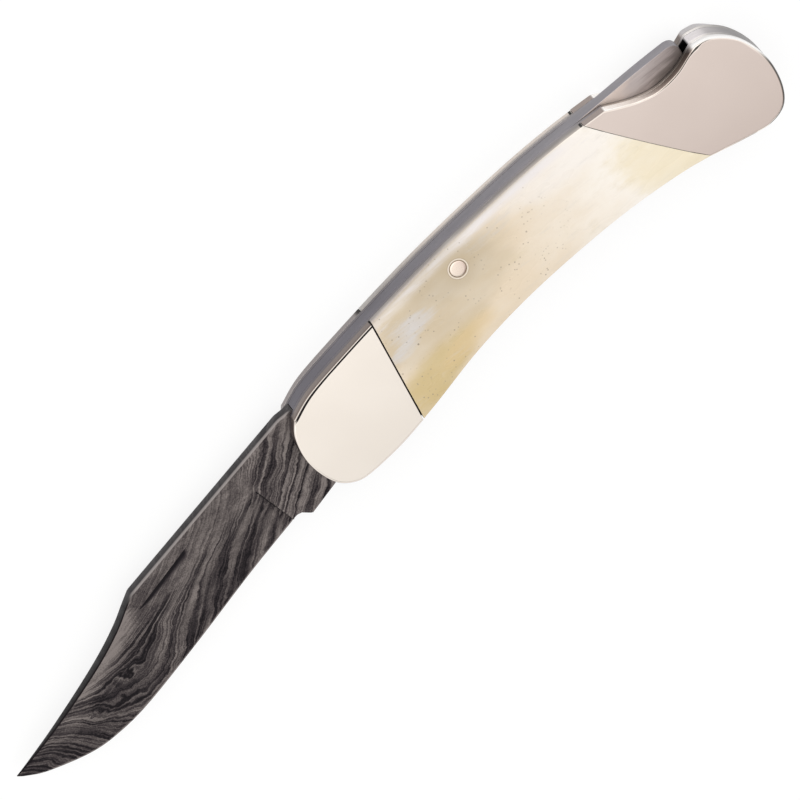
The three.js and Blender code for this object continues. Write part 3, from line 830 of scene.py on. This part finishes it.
straw = patch((70, 1), (14, 9), -50) + fine_stir * 0.9 + stir * 0.6
colour = bone.mix(straw.ramp(0.0, 1.1, 0.0, 0.6), colour, STRAW)
# A painted sheen, pale lavender white, on the upper rear of the scale.
sheen = patch((53, 12.5), (15, 4.2), -3) + fine_stir * 0.7 + stir * 0.5
colour = bone.mix(sheen.ramp(0.0, 1.3, 0.0, 0.5), colour, SHEEN)
pearly = patch((38, 11.5), (8.0, 2.4), 8, 0.45) + patch((19, 7.0), (6.0, 2.6), -2)
pearly = pearly + patch((15.5, 4.2), (4.4, 1.7), 8) + streaks * 1.5 + fine_stir * 0.9
colour = bone.mix(pearly.ramp(0.0, 1.3, 0.0, 0.95), colour, PEARL)

rolled = bone.facing((0, 1, 0))
# A painted highlight: a streaked lavender-white band along the rounded spine edge.
band = rolled.ramp(0.0, 0.13) * rolled.ramp(0.50, 0.17) * (1.0 - (x + stir * 8.0).ramp(50, 66))
strength = streaks * 1.6 + fine_stir * 0.8 + x.ramp(20, 46, 0.4, 0.95)
colour = bone.mix(band * strength.least(1.0).most(0.0), colour, LAVENDER)
# Painted shade on the rounded spine edge: greyer and darker on the rounding in the front half, and browner on
# its steeper part near the front.
rounding_shade = rolled.ramp(0.0, 0.2) * (1.0 - x.ramp(48, 60))
colour = bone.mix(rounding_shade * 0.4, colour, (0.70, 0.66, 0.63))
colour = bone.shade(colour, 1.0 - rounding_shade * rolled.ramp(0.15, 0.5) * x.ramp(22, 36, 0.08, 0.26))
steep_rounding_shade = rolled.ramp(0.12, 0.45) * x.ramp(36, 22)
colour = bone.mix(steep_rounding_shade * 0.6, colour, BROWN)
# Painted shade on the scales' spine-side flanks: dark next to the liners and lighter towards the face, darker
# further back on the near side and towards the front on the far side. The belly-side flanks are a pale grey.
near_flank = bone.mix(z.ramp(7.2, 8.6), (0.19, 0.165, 0.155), (0.50, 0.43, 0.385))
near_flank = bone.shade(near_flank, 1.0 - x.ramp(26, 38) * 0.24)
far_edge = bone.mix(x.ramp(14, 34), (0.28, 0.265, 0.26), (0.60, 0.53, 0.48))
far_flank = bone.mix(z.ramp(2.0, 1.0), (0.22, 0.20, 0.19), far_edge)
colour = bone.mix(rolled.ramp(0.55, 0.9) * 0.95, colour, bone.mix(z.ramp(4.0, 5.0), far_flank, near_flank))
colour = bone.mix(rolled.ramp(-0.6, -0.95) * 0.6, colour, (0.72, 0.71, 0.69))
colour = bone.mix(cloud.ramp(0.45, 0.75, 0.0, 0.22), colour, WHITE)


def specks(scale, size, keep):
    """Small round dots, kept where the given field is high."""
    cells = add_node(bone.tree, "TexVoronoi", {"Vector": bone.place, "Scale": scale, "Randomness": 1.0})
    return cells.ramp(size, size * 0.55) * keep


pores = specks(430.0, 0.10, bone.noise(5.0, detail=1, shift=8.8).ramp(0.50, 0.64))
dust = specks(1250.0, 0.21, bone.noise(2.5, detail=3, shift=3.3).ramp(0.44, 0.62) * x.ramp(56, 40))
colour = bone.mix(dust * 0.75, colour, (0.30, 0.25, 0.19))
colour = bone.mix(pores * 0.8, colour, (0.20, 0.16, 0.12))
colour = bone.shade(colour, 1.0 - patch((29, 10), (11, 5)) * 0.11)
from_pin = ((x - ROCKER[0]) * (x - ROCKER[0]) + (y - ROCKER[1]) * (y - ROCKER[1])).power(0.5)
colour = bone.mix(from_pin.ramp(4.6, 1.6) * 0.55, colour, (0.52, 0.42, 0.28))
# A dark ring around the pin head: painted shade in the gap at the counterbore, with a faint stain ring
# further out. Between them lies a painted highlight just outside the counterbore's rim.
stain_and_gap_shade = from_pin.ramp(1.62, 1.52) + from_pin.ramp(1.80, 1.88) * from_pin.ramp(1.98, 1.90) * 0.4
rim_highlight = from_pin.ramp(1.54, 1.62) * from_pin.ramp(1.84, 1.76)
colour = bone.mix(rim_highlight * 0.75, colour, (0.84, 0.76, 0.66))
colour = bone.mix(stain_and_gap_shade * 0.8, colour, (0.27, 0.19, 0.13))
# Painted shade on the scales' walls in the joint gaps; the rear joint line is darker where it meets the
# spine.
shaded_joint_wall = bone.facing((-0.93, 0.37, 0)).most(bone.facing((0.81, 0.58, 0))).ramp(0.8, 0.95)
colour = bone.mix(shaded_joint_wall * rolled.ramp(0.75, 0.65), colour, (0.05, 0.04, 0.03))
dark_joint_end = past_line(x, y, REAR_LINE).size().ramp(0.28, 0.17) * rolled.ramp(0.6, 0.8)
colour = bone.mix(dark_joint_end, colour, JOINT_DARK)
bone.bump(fine_stir * 0.5 + pores * -1.0 + dust * -0.4, 0.012)
bone.set(Base_Color=colour, Roughness=cloud * 0.12 + 0.22 + dark_joint_end * 0.5)
for side, levels in (("mark", MARK_SLAB), ("pile", PILE_SLAB)):
    if side == "mark":
        half_gap, shares = FRONT_HALF_GAP, {"low_share": SCALE_BACK_SHARE}
        hole = [(radius, levels[1] + height) for radius, height in COUNTERBORE]
    else:
        half_gap, shares = REAR_HALF_GAP, {"high_share": SCALE_BACK_SHARE}
        hole = [(radius, levels[0] - height) for radius, height in COUNTERBORE[::-1]]
    front, rear = FRONT_JOINT + (half_gap, 0), rear_joint - (REAR_HALF_GAP, 0)
    top = before(after(spine, front, SCALE_CLEAR), rear, SCALE_CLEAR)
    under = before(after(belly, rear, SCALE_CLEAR), front, SCALE_CLEAR)
    rear_edge = joint_edge(rear, top[-1], under[0], SCALE_CLEAR)
    front_edge = joint_edge(front, under[-1], top[0], SCALE_CLEAR)
    outline = loop((top, SCALE_EDGE), (rear_edge, JOINT_EDGE), (under, SCALE_EDGE), (front_edge, JOINT_EDGE))
    scale = slab(f"{side}_side_scale", outline, levels, bone.material, turns=SCALE_TURNS,
                 drop_share=SCALE_CROWN, **shares)
    cut_away(scale, turned("counterbore", hole, ROCKER, None))
    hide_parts(f"{side}_scale")
    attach(scale, "handle")


# Rocker pin: a nickel silver pin through the whole handle, spun over into a shallow head in each
# scale and polished flush. The lock bar rocks on its middle.
HEAD_RADIUS, HEAD_DEPTH, PIN_RADIUS, TOP = 1.4, 0.35, 1.25, 8.8
half_profile = [
    (PIN_RADIUS, MIDDLE), (PIN_RADIUS, TOP - HEAD_DEPTH), (HEAD_RADIUS, TOP - HEAD_DEPTH),
    (HEAD_RADIUS, TOP - 0.05), (HEAD_RADIUS - 0.02, TOP - 0.02), (HEAD_RADIUS - 0.06, TOP - 0.012),
    (HEAD_RADIUS * 0.75, TOP - 0.006), (HEAD_RADIUS * 0.5, TOP - 0.002), (0.3, TOP),
]
lower_half = [(radius, 2 * MIDDLE - level) for radius, level in half_profile[:0:-1]]
rocker = turned("rocker_pin_rod", lower_half + half_profile, ROCKER, silver)
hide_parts("rocker_pin")
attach(rocker, "handle")


# Blade: one piece of pattern-welded steel with a clip point. The flats keep the full stock, the
# sides below the grind line are hollow, and etching has left the layers in light and dark relief.
CLIP = [(-45.3, -0.45), (-47.4, -1.75), (-51, -4), (-56.2, -6.5), (-63.1, -9.1), (-71, -11.65),
        (-79.1, -13.8)]
EDGE = [(-16, -8.9), (-27.4, -11.6), (-41.8, -15.5), (-54.6, -18.6), (-62, -19.4), (-67.5, -18.9),
        (-74.5, -16.7), (-77.8, -14.9), (-79.1, -13.9)]
BACK = [(-45.3, -0.45), (-8.2, 7.5), (-5.13, 7.5)]
FOOT = [(-16.52, -8.98), (-16.38, -8.4), (-16.1, -8.2), (-15.4, -8.1), (-14.6, -8.3), (-13.2, -9.6),
        (-5.8, -7.55), (0.97, -5.51)]
TANG_RADIUS, TANG_HOLE, NOTCH_FLOOR, NOTCH_WALL = 5.6, 2.06, 5.4, -5.12
POINT, FULL_HALF, EDGE_HALF, KEEN_HALF = -79.1, 1.5, 0.14, 0.015
GRIND_LINE, HOLLOW, BEVEL_WIDTH, BACK_EASE = 0.37, 0.30, 0.32, 0.30
TAPER_START, TAPER_LENGTH, TAPER_SHARE, TAPER_POWER = -40.0, 39.1, 0.72, 2.2
PLUNGE_FOOT, PLUNGE_TOP, PLUNGE_LENGTH = (-16.36, -8.5), (-18.3, -0.1), 0.2
PLUNGE_ZONE, POINT_TO_ZONE = (-20.1, -14.6), 59
PLUNGE_LEAN = (PLUNGE_TOP[0] - PLUNGE_FOOT[0]) / (PLUNGE_TOP[1] - PLUNGE_FOOT[1])
NICK_START, NICK_END = np.array((-32.2, 0.35)), np.array((-45.9, -3.45))
NICK_DEPTH, NICK_SLOPE, NICK_ROOT, NICK_STEPS = 0.55, 0.30, 0.004, 41
CUTTER_OVER, CUTTER_BACK = 0.5, -0.02

edge_line = through(EDGE, 200)[::-1]
upper_line = np.vstack([through(CLIP, 120)[:0:-1], BACK])
lower_line = np.vstack([edge_line[edge_line[:, 0] < FOOT[0][0]], FOOT])


def blade_top(x):
    """The upper edge: the clip, the back, the notch's floor and the tang's round end."""
    if x > NOTCH_WALL:
        return min(NOTCH_FLOOR, math.sqrt(max(TANG_RADIUS**2 - x**2, 0)))
    return float(np.interp(x, *upper_line.T))


def blade_low(x):
    """The lower edge: the cutting edge, the choil, the kick and the tang's round end."""
    if x > FOOT[-1][0]:
        return -math.sqrt(max(TANG_RADIUS**2 - x**2, 0))
    return float(np.interp(x, *lower_line.T))


def rise(value):
    """Rises smoothly from 0 to 1 as the value does."""
    value = np.clip(value, 0, 1)
    return value * value * (3 - 2 * value)


def half_thickness(x, top, low, y):
    """Half the blade's thickness at a place."""
    width = max(top - low, 1e-6)
    taper = 1 - TAPER_SHARE * max(0.0, (TAPER_START - x) / TAPER_LENGTH) ** TAPER_POWER
    full = min(FULL_HALF * taper, 0.1 * width + 0.1)
    grind = GRIND_LINE * width
    below = top - grind - y
    ground = full
    if below > 0:
        share = below / max(width - grind, 1e-6)
        thin = min(EDGE_HALF, full * 0.5)
        hollow = HOLLOW * min(1.0, width / 12) * full * 4 * share * (1 - share) * (1 - 0.35 * share)
        ground = max(full + (thin - full) * share - hollow, thin)
        bevel = (y - low) / (BEVEL_WIDTH * min(1.0, width / 6))
        if bevel < 1:
            ground = min(ground, KEEN_HALF + (thin - KEEN_HALF) * max(bevel, 0.0))
    plunge = PLUNGE_FOOT[0] + PLUNGE_LEAN * (y - PLUNGE_FOOT[1])
    half = FULL_HALF + (ground - FULL_HALF) * float(rise((plunge - x) / PLUNGE_LENGTH))
    ease = min(BACK_EASE, width * 0.2)
    down = top - y
    if down < ease and x < NOTCH_WALL - 1:
        half -= min(ease, half * 0.8) * (1 - math.sqrt(max(1 - (1 - down / ease) ** 2, 0)))
    return half


columns = np.concatenate([
    POINT + POINT_TO_ZONE * np.linspace(0, 1, 190)[:-1] ** 1.15,
    np.linspace(*PLUNGE_ZONE, 76)[:-1],
    np.linspace(PLUNGE_ZONE[1], BACK[-1][0], 26),
    np.linspace(NOTCH_WALL, TANG_RADIUS - 0.005, 40),
])
ease_rows = np.array([0.0, 0.12, 0.3, 0.55, 0.8, 1.0])
flat_rows, hollow_rows, bevel_rows = (np.linspace(0, 1, count)[1:] for count in (9, 30, 4))


def blade_section(x):
    """The blade's section at a place: down its near side from the back, and up its far side."""
    top, low = blade_top(x), blade_low(x)
    width = top - low
    ease, bevel = min(BACK_EASE, width * 0.2), min(BEVEL_WIDTH, width * 0.05)
    eased, grind = top - ease, top - GRIND_LINE * width
    rows = np.concatenate([
        top - ease * ease_rows,
        eased + (grind - eased) * flat_rows,
        grind + (low + bevel - grind) * hollow_rows,
        low + bevel - bevel * bevel_rows,
    ])
    half = np.array([half_thickness(x, top, low, row) for row in rows])
    across = np.concatenate([rows, rows[::-1]])
    level = np.concatenate([MIDDLE + half, MIDDLE - half[::-1]])
    return np.column_stack([np.full(len(across), x), across, level])


etched = Finish("etched_pattern_steel", Metallic=1.0)
x, y, z = etched.axes()
SPINE_SLOPE, SPINE_LEVEL = 0.2143, 9.26
deep = x * SPINE_SLOPE + SPINE_LEVEL - y
past_clip = (-45.0 - x).most(0.0)
far_past = (past_clip - 20.0).most(0.0)
knots = (x + 57.0) * (x + 57.0) * (1 / 90) + (deep - 9.5) * (deep - 9.5) * (1 / 14)
wander = etched.noise((13, 8, 4), detail=2, rough=0.5, shift=1.9) - 0.5
swirl = etched.noise((3.6, 2.4, 3), detail=2, rough=0.5, shift=5.2) - 0.5
ragged = etched.noise((1.1, 0.6, 1), detail=4, rough=0.7, shift=7.7) - 0.5
layers = deep * 0.48 + x.ramp(-14, -40) * (deep.ramp(-0.5, 8.5, 0.0, 4.8) - 4.8) + x * 0.30
layers = layers + past_clip * past_clip * 0.024 - far_past * far_past * 0.020
layers = layers + wander * 1.5 + swirl * (knots.ramp(1.0, 0.0) * 1.8 + 0.9) + ragged * 0.42


def sheets(count, shift):
    """Noise that varies across the layers only, a given number of them to each unit."""
    stack = add_node(etched.tree, "CombineXYZ", {0: layers * count + shift, 1: x * 0.04, 2: y * 0.04})
    return add_node(etched.tree, "TexNoise", {"Vector": stack, "Scale": 1.0, "Detail": 1.0, "Roughness": 0.5})


upper_flat = deep.ramp(6.2, 4.8) * x.ramp(-17.0, -19.5)
speckle = etched.noise(0.20, detail=3, rough=0.75)
blotch = etched.noise((3.0, 1.2, 1.5), detail=3, rough=0.65, shift=9.3)
bold = sheets(2.5, 0.0).ramp(0.36, 0.62)
fine = sheets(6.4, 7.0).ramp(0.34, 0.66)
wide = sheets(1.15, 3.0).ramp(0.38, 0.52)
near_plunge = x.ramp(-40, -28) * x.ramp(-17.4, -18.6) * deep.ramp(5.8, 7.6)
past_nick = x.ramp(-38, -46)
band = bold * 0.58 + fine * 0.42
band = band + (wide * 0.8 + fine * 0.2 - band) * near_plunge * 0.75
bite = etched.noise((6.0, 2.5, 3.0), detail=2, shift=12.1).ramp(0.3, 0.7, 0.7, 1.2)
tone = (band - 0.5) * bite * (1.0 - upper_flat * 0.60) + 0.46 + upper_flat * (0.22 - past_nick * 0.05)
tone = tone + (speckle - 0.5) * 1.25 + (blotch - 0.5) * (upper_flat * 0.3 + 0.6) - past_nick * 0.15
tone = tone - x.ramp(-58, -66) * 0.11 + x.ramp(-10, -8) * 0.2
low_edge = etched.facing((0, -1, 0)).ramp(0.295, 0.345) * 0.6
under_clip = ((x + 45.3) * 0.47 - 0.45 - y).ramp(4.6, 1.5) * x.ramp(-45.5, -49) * x.ramp(-71, -62)
off_plunge = x - ((y - PLUNGE_FOOT[1]) * PLUNGE_LEAN + PLUNGE_FOOT[0])
ground_side = deep.ramp(5.2, 5.8)
# Painted shade on the plunge's wall, and a painted highlight along its upper edge.
step = off_plunge.ramp(-0.24, -0.19) * off_plunge.ramp(0.01, -0.03) * ground_side
plunge_highlight = off_plunge.ramp(0.0, 0.05) * off_plunge.ramp(1.8, 0.1) * ground_side
ricasso = off_plunge.ramp(-0.03, 0.03) * x.ramp(-7.0, -11.0)
under_plunge = off_plunge.ramp(-5.0, -0.2) * off_plunge.ramp(0.0, -0.05) * ground_side
tone = tone + low_edge - step * 0.9 + plunge_highlight * 0.10 + ricasso * 0.02 - under_plunge * 0.12 + under_clip * 0.5
nick_way = (NICK_END - NICK_START) / np.linalg.norm(NICK_END - NICK_START)
nick_down = np.array([-nick_way[1], nick_way[0]])
below_nick = (x - NICK_START[0]) * nick_down[0] + (y - NICK_START[1]) * nick_down[1]
upwards = etched.facing((0, 1, 0))
in_nick = upwards.ramp(0.14, 0.22) * upwards.ramp(0.6, 0.5) * below_nick.ramp(-0.06, 0.0)
in_nick = in_nick * below_nick.ramp(2.6, 2.3) * x.ramp(-30.0, -31.0) * x.ramp(-48.0, -47.0)
# Painted shade in the nail nick: dark under its upper wall, lighter further down its slope.
nick_shade = below_nick.ramp(0.2, 1.7, -0.08, 0.60) + (speckle - 0.5) * 0.35 + (blotch - 0.5) * 0.3
tone = tone + in_nick * (nick_shade - tone)
metal = etched.colours(tone, (0.0, (0.017, 0.015, 0.017)), (0.25, (0.045, 0.038, 0.041)),
                       (0.5, (0.092, 0.079, 0.079)), (0.75, (0.155, 0.135, 0.13)), (1.0, (0.25, 0.22, 0.21)))
metal = etched.mix(upwards.ramp(0.6, 0.9) * 0.85, metal, (0.030, 0.028, 0.031))
# A painted highlight along the near edge of the blade's back.
back_edge_highlight = upwards.ramp(0.08, 0.3) * deep.ramp(0.6, 0.45) * z.ramp(5.1, 5.65) * x.ramp(-47, -44)
metal = etched.mix(back_edge_highlight * 0.9, metal, (0.315, 0.285, 0.275))
metal = etched.mix(upwards.ramp(0.15, 0.4) * x.ramp(-45.2, -47), metal, (0.014, 0.012, 0.013))
etched.bump(band * 0.6 + speckle * 0.5, 0.02)
etched.set(Base_Color=metal, Roughness=0.6 - band * 0.12)
blade = new_piece("clip_point_blade", *skin([blade_section(place) for place in columns]), etched.material)
bore(blade, [PIVOT], TANG_HOLE, DRILLED)

share = np.linspace(0, 1, NICK_STEPS)
nick_rings = []
face_level = MIDDLE + FULL_HALF
cutter_top = face_level + CUTTER_OVER
for along, depth in zip(share, NICK_DEPTH * rise(share / 0.16) * (1 - share) ** 0.55 + NICK_ROOT):
    at = NICK_START + (NICK_END - NICK_START) * along
    reach = (depth + CUTTER_OVER) / NICK_SLOPE
    corners = [(0.0, face_level - depth), (reach, cutter_top), (CUTTER_BACK, cutter_top)]
    nick_rings.append([(*(at + nick_down * down), level) for down, level in corners])
cut_away(blade, new_piece("nick_cutter", *skin(nick_rings), None))
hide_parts("blade")
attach(blade, "blade")
